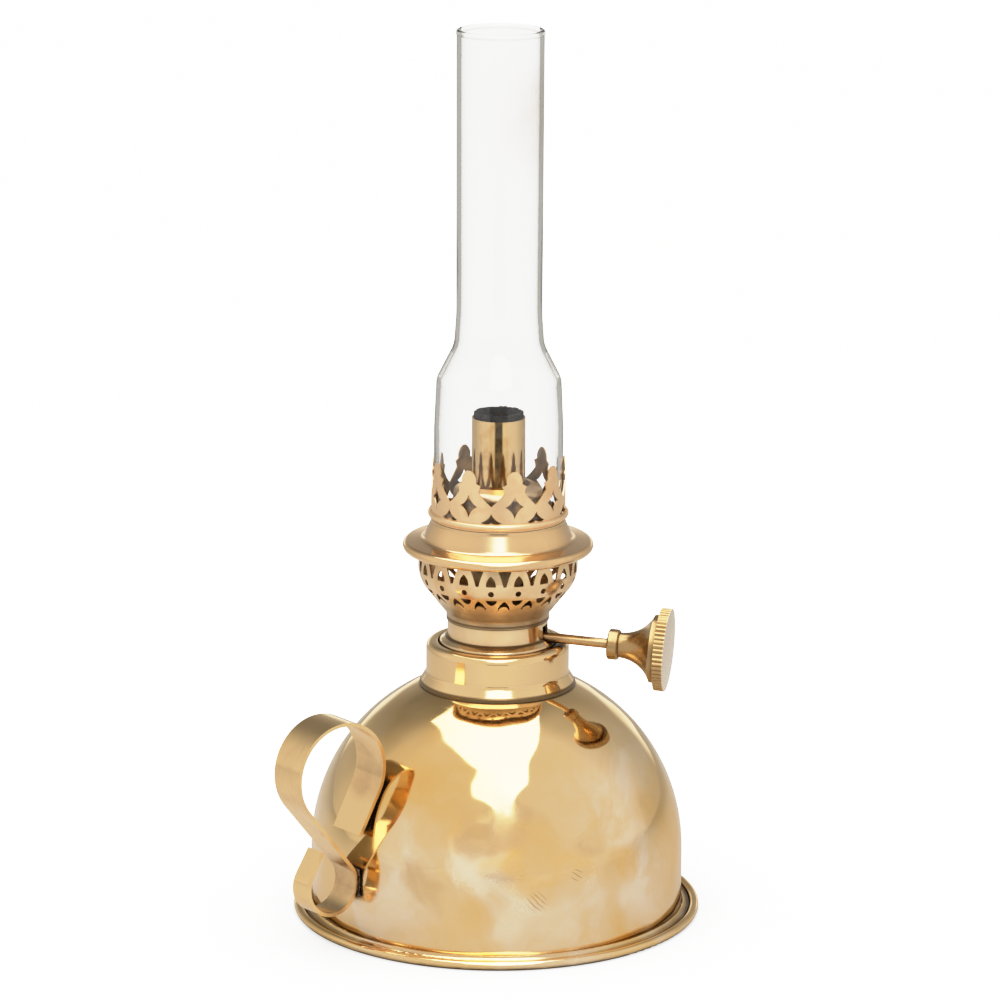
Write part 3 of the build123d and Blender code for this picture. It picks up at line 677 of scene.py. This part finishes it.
# %% Dome
dome_blooms = [
    ((0.003, -0.044, 0.043), 0.028, hazy_brass, 0.2),
    ((0.012, -0.049, 0.020), 0.022, hazy_brass, 0.25),
    ((-0.046, -0.018, 0.029), 0.013, hazy_brass, 0.2),
    ((-0.033, -0.038, 0.026), 0.022, hazy_brass, 0.4),
    ((-0.014, -0.049, 0.027), 0.018, clean_brass, 0.35),
    ((-0.020, -0.047, 0.010), 0.024, hazy_brass, 0.25),
    ((-0.050, -0.012, 0.010), 0.020, hazy_brass, 0.2),
    ((-0.038, 0.034, 0.022), 0.026, hazy_brass, 0.25),
    ((0.045, 0.020, 0.030), 0.030, hazy_brass, 0.25),
    ((-0.038, -0.025, 0.041), 0.019, amber_brass, 0.12),
    ((-0.022, -0.044, 0.029), 0.015, amber_brass, 0.2),
    ((0.004, -0.050, 0.025), 0.012, amber_brass, 0.15),
    ((-0.046, -0.004, 0.043), 0.014, amber_brass, 0.1),
    ((0.030, 0.040, 0.040), 0.024, amber_brass, 0.15),
    ((-0.030, -0.037, 0.036), 0.013, brown_smear, 0.2),
    ((-0.010, -0.046, 0.038), 0.010, brown_smear, 0.15),
    ((-0.047, -0.020, 0.018), 0.009, brown_smear, 0.2),
    ((0.020, -0.044, 0.034), 0.010, brown_smear, 0.15),
    ((0.010, 0.048, 0.030), 0.012, brown_smear, 0.2),
]
dome_dimples = [((-0.0335, -0.0350, 0.0352), 0.004), ((-0.0333, -0.0372, 0.0295), 0.0016)]
dome_cuts = [
    ((-0.0230, -0.0456, 0.0176), (0.55, -0.445, 0.707), 0.0032),
    ((-0.0122, -0.0492, 0.0239), (0.5, -0.2, 0.84), 0.002),
]
collar_low, collar_high = (Vector(corner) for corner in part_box("neck_collar"))
bowl_low, bowl_high = (Vector(corner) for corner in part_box("font_bowl"))
collar_seam = (collar_high.x, collar_low.z + 0.0005, 0.0011)
base_seam = (bowl_high.x, bowl_low.z + 0.0004, 0.0012)
dome_brass = brass(
    "dome brass", polish=0.06, haze=0.09, clouds=(22.0, 0.62), dents=(55.0, 0.0009), scratches=0.05,
    blooms=dome_blooms, dimples=dome_dimples, cuts=dome_cuts, seams=(collar_seam, base_seam),
)
print("dome has", len(dome_blooms), "blooms")

# %% [markdown]
# ### Collar and strap
# The collar was turned, so it has clear lathe lines and a dark seam at its foot. The strap was drawn
# flat and then bent: its lines run along it, and it is stained brown near the solder.

# %% Collar and strap
collar_brass = brass(
    "collar brass", clean=(0.95, 0.69, 0.38, 1), dull=(0.92, 0.62, 0.28, 1), polish=0.09, haze=0.18,
    lines=(4000.0, 0.04), seams=(collar_seam,),
)
strap_stains = [
    ((-0.0444, 0.0017, 0.0510), 0.013, leg_stain, 0.3),
    ((-0.0520, 0.0000, 0.0200), 0.010, leg_stain, 0.3),
]
strap_brass = brass(
    "strap brass", clean=(0.98, 0.71, 0.37, 1), dull=(0.78, 0.56, 0.32, 1), polish=0.14, haze=0.27,
    clouds=(50.0, 0.5), lines=(1.0, 0.12), brush=(60.0, 2600.0, 60.0), blooms=strap_stains, swirl=0.012,
)
print("strap has", len(strap_stains), "stains")

# %% [markdown]
# ### Burner
# The burner's parts were pressed from bright sheet, so they are paler and more even than the dome.
# Dark rings mark where tube plate and housing meet their neighbours, the spindle's slot is ringed with
# brown that is partly dirt and partly painted shade, and the basket is darker towards its foot.

# %% Housing and basket
plate_low, plate_high = (Vector(corner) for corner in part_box("tube_plate"))
plate_seams = [(plate_high.x, plate_low.z, 0.0004), (plate_high.x, plate_high.z, 0.0005)]
housing_foot_seam = (0.0139, 0.0775, 0.0007)
# Brown around the spindle's slot: partly dirt, partly painted shade.
slot_grime_and_shade = [((0.0088, -0.0105, 0.0787), 0.0045, slot_dirt_and_shade, 0.4)]
burner_brass = brass(
    "burner brass", clean=(0.97, 0.73, 0.44, 1), dull=(0.92, 0.65, 0.36, 1), polish=0.09, haze=0.16,
    clouds=(60.0, 0.45), grime_and_shade=(0.003, 0.5), seams=(*plate_seams, housing_foot_seam), blooms=slot_grime_and_shade,
    swirl=0.006,
)
basket_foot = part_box("burner_basket")[0][2]
basket_darkening = (basket_foot + 0.008, 0.5)
basket_brass = brass(
    "basket brass", clean=pressed_brass, dull=(0.78, 0.52, 0.27, 1), polish=0.17, haze=0.3,
    clouds=(60.0, 0.55), grime_and_shade=(0.004, 1.0), darker_below=basket_darkening, seams=plate_seams,
)
print("basket darkens below", round(basket_darkening[0], 4), "m")

# %% [markdown]
# ### Crown, deflector and flange
# These three stand next to the flame, and its heat has left the crown and the deflector matt. They
# get less of the corner darkening, grime and painted shade, than the rest, because the glass that
# stands close to the prongs would count as a corner.

# %% Crown, deflector and flange
crown_brass = brass(
    "crown brass", clean=(0.95, 0.69, 0.42, 1), dull=(0.86, 0.58, 0.32, 1), polish=0.36, haze=0.48,
    clouds=(80.0, 0.5), grime_and_shade=(0.003, 0.3), seam_grime_and_shade=0.5,
)
deflector_brass = brass(
    "deflector brass", clean=(0.95, 0.70, 0.42, 1), dull=(0.84, 0.59, 0.33, 1), polish=0.36, haze=0.5,
    clouds=(80.0, 0.5), grime_and_shade=(0.002, 0.4), seam_grime_and_shade=1.0,
)
flange_brass = brass(
    "flange brass", clean=(0.92, 0.64, 0.35, 1), dull=(0.78, 0.56, 0.33, 1), polish=0.14, haze=0.24,
    clouds=(50.0, 0.5), grime_and_shade=(0.004, 0.9),
)
print("matt finishes:", crown_brass.name, "and", deflector_brass.name)

# %% [markdown]
# ### Tubes, knob and spindle
# The wick tubes are darker low down. The knob is brown in its knurls, and the flat face that fingers
# rub is pale and slick, which is a thin coat over the metal; the paleness is partly rubbed brass and
# partly painted sheen. The spindle is brown where it leaves the housing, partly dirt and partly
# painted shade. Solder isn't brass, but a dark dull metal suits the same function.

# %% Tubes, knob, spindle and solder
# The tubes are darker low down.
tube_brass = brass(
    "tube brass", dull=(0.8, 0.52, 0.22, 1), polish=0.1, haze=0.2, clouds=(120.0, 0.5),
    darker_below=(0.110, 0.6),
)
knob_out = Vector((0.6419, -0.7650, -0.0523))
knob_low, knob_high = (Vector(corner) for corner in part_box("knob_disc"))
knob_half_thickness = 0.0014
knob_face = (knob_low + knob_high).dot(knob_out) / 2 + knob_half_thickness
knob_brass = brass(
    "knob brass", clean=(0.52, 0.345, 0.165, 1), dull=(0.46, 0.31, 0.155, 1), polish=0.24, haze=0.34,
    clouds=(90.0, 0.5), grime_and_shade=(0.002, 1.2), pale_and_sheen_beyond=(knob_out, knob_face),
)
# The spindle's brown where it leaves the housing is partly dirt, partly painted shade.
spindle_brass = brass(
    "spindle brass", clean=(0.66, 0.44, 0.22, 1), dull=(0.5, 0.32, 0.17, 1), polish=0.25,
    blooms=[((0.0105, -0.0125, 0.0782), 0.006, slot_dirt_and_shade, 0.4)], swirl=0.004,
)
solder_metal = brass(
    "solder", clean=(0.20, 0.13, 0.09, 1), dull=(0.07, 0.045, 0.035, 1), polish=0.35, haze=0.55,
)
print("knob face", round(knob_face, 4), "m out along its axis")

# %% [markdown]
# A piece of the frame has one material slot, so a finish is put on by the piece's name. The table
# below is the whole lamp at a glance, apart from the wick and the glass.

# %% Put the finishes on
finish_of = {
    "base_plate": dome_brass, "font_bowl": dome_brass, "neck_collar": collar_brass,
    "strap_handle": strap_brass,
    "upper_handle_solder": solder_metal, "lower_handle_solder": solder_metal,
    "burner_thread_ring": burner_brass, "winder_housing": burner_brass, "tube_plate": burner_brass,
    "burner_basket": basket_brass, "gallery_flange": flange_brass, "chimney_crown": crown_brass,
    "air_deflector": deflector_brass, "outer_wick_tube": tube_brass, "inner_draft_tube": tube_brass,
    "spindle_bush": burner_brass, "winder_spindle": spindle_brass, "wick_star_wheels": spindle_brass,
    "spindle_ferrule": knob_brass, "knob_stem": knob_brass, "knob_disc": knob_brass,
}
for node, material in finish_of.items():
    nodes[node].material_slots[0].material = material
print(len(finish_of), "metal pieces finished")

# %% [markdown]
# ## Skinned pieces
# The wick and the screw thread both follow a rule that modifiers can't give: a slit that widens, a
# crest that climbs. Each is worked out as a row of outlines, and one helper joins these into a mesh.

# %% Skin helper
def skin(name, loops, closed, material):
    """A mesh through loops of equally many points. Open ends are capped by strips across the outline."""
    size = len(loops[0])
    points = [point for loop in loops for point in loop]
    faces = []
    for column in range(len(loops) - (0 if closed else 1)):
        here, there = column * size, (column + 1) % len(loops) * size
        for row in range(size):
            after = (row + 1) % size
            faces.append((here + row, here + after, there + after, there + row))
    for first in () if closed else (0, len(points) - size):
        for row in range((size - 1) // 2):
            strip = (row, row + 1, size - 2 - row, size - 1 - row)
            faces.append([first + corner for corner in dict.fromkeys(strip)])
    mesh = bpy.data.meshes.new(name)
    mesh.from_pydata(points, [], faces)
    shaped = bmesh.new()
    shaped.from_mesh(mesh)
    bmesh.ops.recalc_face_normals(shaped, faces=shaped.faces)
    shaped.to_mesh(mesh)
    shaped.free()
    mesh.shade_smooth()
    mesh.materials.append(material)
    piece = bpy.data.objects.new(name, mesh)
    scene.collection.objects.link(piece)
    return piece


def polar(radius, angle, height):
    return Vector((radius * math.cos(angle), radius * math.sin(angle), height))


print("skin helper ready")

# %% [markdown]
# ### Cotton
# Cotton is cream where it is clean, brown where heat has reached it and black where it has burnt. The
# colours follow the height, and a noise lets their borders drift.

# %% Cotton, scorched towards the top
wick_low, wick_high = (Vector(corner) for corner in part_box("wick"))
shaded_cotton, cream_cotton = (0.62, 0.55, 0.42, 1), (0.78, 0.72, 0.6, 1)
scorched_brown = (0.16, 0.09, 0.04, 1)
soot_black, soot_grey = (0.008, 0.007, 0.007, 1), (0.055, 0.05, 0.047, 1)
fuzz_depth = 0.0004


def cotton():
    material = bpy.data.materials.new("wick cotton")
    material.use_nodes = True
    tree = material.node_tree
    shader = tree.nodes["Principled BSDF"]
    place = add(tree, "TexCoord").outputs["Object"]
    height = add(tree, "SeparateXYZ", {0: place}).outputs["Z"]
    fuzz = add(tree, "TexNoise", {"Vector": place, "Scale": 900.0, "Detail": 4.0}).outputs["Fac"]
    drift = add(tree, "TexNoise", {"Vector": place, "Scale": 160.0, "Detail": 2.0}).outputs["Fac"]
    level = maths(tree, "ADD", height, spread(tree, drift, 0.3, 0.7, -0.001, 0.001))
    scorch = spread(tree, level, wick_high.z - 0.009, wick_high.z - 0.004)
    char = spread(tree, level, wick_high.z - 0.005, wick_high.z - 0.0025)
    thread = blend_colours(tree, fuzz, shaded_cotton, cream_cotton)
    thread = blend_colours(tree, scorch, thread, scorched_brown)
    darkening = blend_colours(tree, fuzz, soot_black, soot_grey)
    feed(tree, shader.inputs["Base Color"], blend_colours(tree, char, thread, darkening))
    feed(tree, shader.inputs["Roughness"], spread(tree, fuzz, 0.0, 1.0, 0.75, 1.0))
    rough = add(tree, "Bump", {"Height": fuzz, "Distance": fuzz_depth, "Strength": 1.0})
    feed(tree, shader.inputs["Normal"], rough.outputs["Normal"])
    return material


wick_cotton = cotton()
print("wick runs from", round(wick_low.z, 4), "to", round(wick_high.z, 4))

# %% [markdown]
# ## Wick
# The wick is a flat woven band rolled into a tube. Its edges meet at the top and part lower down,
# where the winding wheels reach in from the knob's side. The top is burnt black and ragged. A plain
# tube can't show that, so it is skinned column by column: each column is an outline, up the outside
# and down the inside.

# %% Wick
wick_radius = (wick_high.x - wick_low.x) / 2
wick_bore = 0.0052
wick_ribs, wick_columns, wick_rows = 72, 288, 90
rib_depth, weave_depth, weave_pace, row_crowding = 0.00006, 0.00005, 9000, 0.6
top_drop, coarse_rag, fine_rag, rag_pace = 0.0005, 0.00022, 0.0003, 420
slit_turn = math.radians(-50)
slit_half, slit_shoulder, slit_apex, seam_half = 0.005, 0.087, 0.112, 0.0002


def slit_angle(height, radius):
    """Half the angle that is open at this height, for a slit with straight sides."""
    opened = slit_half * min(max((slit_apex - height) / (slit_apex - slit_shoulder), 0), 1)
    return math.asin(max(opened, seam_half) / radius)


def burnt_top(angle, radius):
    """The ragged height of the burnt end."""
    place = polar(radius, angle, 0.0) * rag_pace
    return wick_high.z - top_drop - coarse_rag * noise.noise(place) - fine_rag * noise.noise(place * 4)


def wick_column(share):
    outline = []
    middle = slit_turn + 2 * math.pi * share
    for wall, rows in ((wick_radius, range(wick_rows + 1)), (wick_bore, range(wick_rows, -1, -1))):
        for row in rows:
            height = wick_low.z + (burnt_top(middle, wall) - wick_low.z) * (row / wick_rows) ** row_crowding
            opened = slit_angle(height, wall)
            angle = slit_turn + opened + (2 * math.pi - 2 * opened) * share
            rib = rib_depth * (1 + math.cos(wick_ribs * angle))
            rib = rib + weave_depth * (1 + math.cos(height * weave_pace))
            inward = rib if wall == wick_radius else -rib
            outline.append(polar(wall - inward, angle, height))
        if wall == wick_radius:
            for part in (0.25, 0.5, 0.75):
                radius = wick_radius + (wick_bore - wick_radius) * part
                opened = slit_angle(wick_high.z, radius)
                angle = slit_turn + opened + (2 * math.pi - 2 * opened) * share
                outline.append(polar(radius, angle, burnt_top(middle, radius) + 0.0001))
    return outline


wick_outlines = [wick_column(column / wick_columns) for column in range(wick_columns + 1)]
wick = skin("rolled_wick", wick_outlines, False, wick_cotton)
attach(wick, "wick")
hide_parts("wick")
print("wick has", len(wick.data.vertices), "points")

# %% [markdown]
# Burnt cotton ends in loose threads. Short tapered strands along the edge are enough to break its
# outline. They are one mesh, because they are never seen apart.

# %% Burnt threads
strand_count, strand_sides, strand_steps = 90, 4, 4
strand_thickness, strand_length = 0.00009, 0.0011
edge_inset, root_depth, most_lean = 0.0002, 0.0004, 0.6
chance = random.Random(11)
points, faces = [], []
for _ in range(strand_count):
    angle = chance.uniform(0, 2 * math.pi)
    radius = chance.choice((wick_radius - edge_inset, chance.uniform(wick_bore, wick_radius)))
    length = strand_length * chance.uniform(0.4, 1.0)
    lean = Vector((chance.uniform(-1, 1), chance.uniform(-1, 1), 0)) * most_lean
    root = polar(radius, angle, burnt_top(angle, radius) - root_depth)
    first = len(points)
    for step in range(strand_steps + 1):
        along = step / strand_steps
        middle = root + (Vector((0, 0, 1)) + lean * along) * length * along
        middle.z = min(middle.z, wick_high.z)
        reach = math.hypot(middle.x, middle.y)
        kept = min(max(reach, wick_bore + 2 * strand_thickness), wick_radius - 2 * strand_thickness)
        middle.x *= kept / reach
        middle.y *= kept / reach
        thick = strand_thickness * (1.05 - along)
        for side in range(strand_sides):
            points.append(middle + polar(thick, side * 2 * math.pi / strand_sides, 0.0))
    for step in range(strand_steps):
        for side in range(strand_sides):
            here, after = first + step * strand_sides, (side + 1) % strand_sides
            above = here + strand_sides
            faces.append((here + side, here + after, above + after, above + side))
    faces.append(tuple(reversed(range(first, first + strand_sides))))
    faces.append(tuple(range(len(points) - strand_sides, len(points))))
strand_mesh = bpy.data.meshes.new("burnt_threads")
strand_mesh.from_pydata(points, [], faces)
strand_mesh.shade_smooth()
strand_mesh.materials.append(wick_cotton)
strands = bpy.data.objects.new("burnt_threads", strand_mesh)
scene.collection.objects.link(strands)
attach(strands, "wick")
print(strand_count, "burnt threads")

# %% [markdown]
# ## Screw thread
# The burner screws into the collar on a coarse thread rolled into thin sheet. The frame holds a plain ring,
# so the thread is skinned over it: the height of the crest moves up by one pitch in each turn.

# %% Thread ring
ring_low, ring_high = (Vector(corner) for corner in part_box("burner_thread_ring"))
ring_crest = (ring_high.x - ring_low.x) / 2
ring_bore, thread_pitch, thread_depth, thread_runout = 0.01315, 0.0025, 0.0007, 0.0009
ring_columns, ring_rows = 144, 72


def ring_column(share):
    outline = [polar(ring_bore, 2 * math.pi * share, z) for z in (ring_high.z, ring_low.z)]
    for row in range(ring_rows + 1):
        height = ring_low.z + (ring_high.z - ring_low.z) * row / ring_rows
        phase = (height - ring_low.z) / thread_pitch - share
        crest = (0.5 + 0.5 * math.cos(2 * math.pi * phase)) ** 0.8
        edge = min(height - ring_low.z, ring_high.z - height) / thread_runout
        radius = ring_crest - thread_depth * (1 - crest * min(edge, 1))
        outline.append(polar(radius, 2 * math.pi * share, height))
    return outline


ring_outlines = [ring_column(column / ring_columns) for column in range(ring_columns)]
thread = skin("burner_thread", ring_outlines, True, burner_brass)
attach(thread, "thread_ring")
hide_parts("burner_thread_ring")
print("thread has", round((ring_high.z - ring_low.z) / thread_pitch, 1), "turns")

# %% [markdown]
# ## Solder
# The strap is soft-soldered to the dome. Solder is never as neat as a drawing: it sags and wrinkles
# as it sets, and it oozes out past the strap's near edge. The frame's smooth fillets are remeshed
# finely, drawn out a little on that side, and wrinkled.

# %% Solder lumps
solder_grain, melt_passes, wrinkle_depth = 0.0003, 6, 0.00035
fold_pace, crinkle_pace = 900, 2600


def solder_lump(node, ooze):
    lump = bpy.data.objects.new(node.replace("solder", "lump"), nodes[node].data.copy())
    scene.collection.objects.link(lump)
    fine = lump.modifiers.new("fine", "REMESH")
    fine.mode = "VOXEL"
    fine.voxel_size = solder_grain
    melt = lump.modifiers.new("melt", "SMOOTH")
    melt.iterations = melt_passes
    ready = lump.evaluated_get(bpy.context.evaluated_depsgraph_get())
    mesh = bpy.data.meshes.new_from_object(ready)
    lump.modifiers.clear()
    low, high = (Vector(corner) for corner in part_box(node))
    for vertex in mesh.vertices:
        folds = noise.noise(vertex.co * fold_pace) + 0.4 * noise.noise(vertex.co * crinkle_pace)
        wrinkle = max(folds, -0.3) + 0.3
        near_side = (high.y - vertex.co.y) / (high.y - low.y)
        drawn = Vector((0, -ooze * near_side, 0))
        vertex.co = vertex.co - vertex.normal * wrinkle_depth * wrinkle + drawn
    mesh.materials.clear()
    mesh.materials.append(solder_metal)
    mesh.shade_smooth()
    lump.data = mesh
    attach(lump, "font")
    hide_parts(node)
    return lump


for node, ooze in (("upper_handle_solder", 0.0004), ("lower_handle_solder", 0.0022)):
    print(node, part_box(node), "has", len(solder_lump(node, ooze).data.vertices), "points")

# %% [markdown]
# ## Glass
# The chimney is clear blown glass with a wall of about a millimetre. Because the frame holds both faces
# of that wall, plain glass bends the light as the real one does, and needs no tricks. Blown glass is never
# quite even and never quite clean, so it gets a very slow wave, a trace of smudging and, near the top, the
# brown breath of soot that a flame leaves.

# %% Chimney glass
clear_glass, sooty_glass = (1, 1, 1, 1), (0.88, 0.85, 0.82, 1)
soot_place, soot_reach, most_smudge = (0.0085, -0.0069, 0.222), 0.022, 0.03
glass_bend, wave_depth = 1.5, 0.0003
glass = bpy.data.materials.new("chimney glass")
glass.use_nodes = True
tree = glass.node_tree
shader = tree.nodes["Principled BSDF"]
shader.inputs["IOR"].default_value = glass_bend
shader.inputs["Transmission Weight"].default_value = 1.0
place = add(tree, "TexCoord").outputs["Object"]
darkening = use(tree, haze_group, Vector=place, Place=soot_place, Reach=soot_reach, Swirl=0.02)["Haze"]
feed(tree, shader.inputs["Base Color"], blend_colours(tree, darkening, clear_glass, sooty_glass))
smudge = use(tree, clouds_group, Vector=place, Scale=70.0, Amount=0.35, Edge=0.3)["Clouds"]
feed(tree, shader.inputs["Roughness"], spread(tree, smudge, 0.0, 1.0, 0.0, most_smudge))
wave = add(tree, "TexNoise", {"Vector": place, "Scale": 40.0, "Detail": 1.0}).outputs["Fac"]
uneven = add(tree, "Bump", {"Height": wave, "Distance": wave_depth, "Strength": 1.0})
feed(tree, shader.inputs["Normal"], uneven.outputs["Normal"])
nodes["chimney"].material_slots[0].material = glass
print("glass on", nodes["chimney"].name)
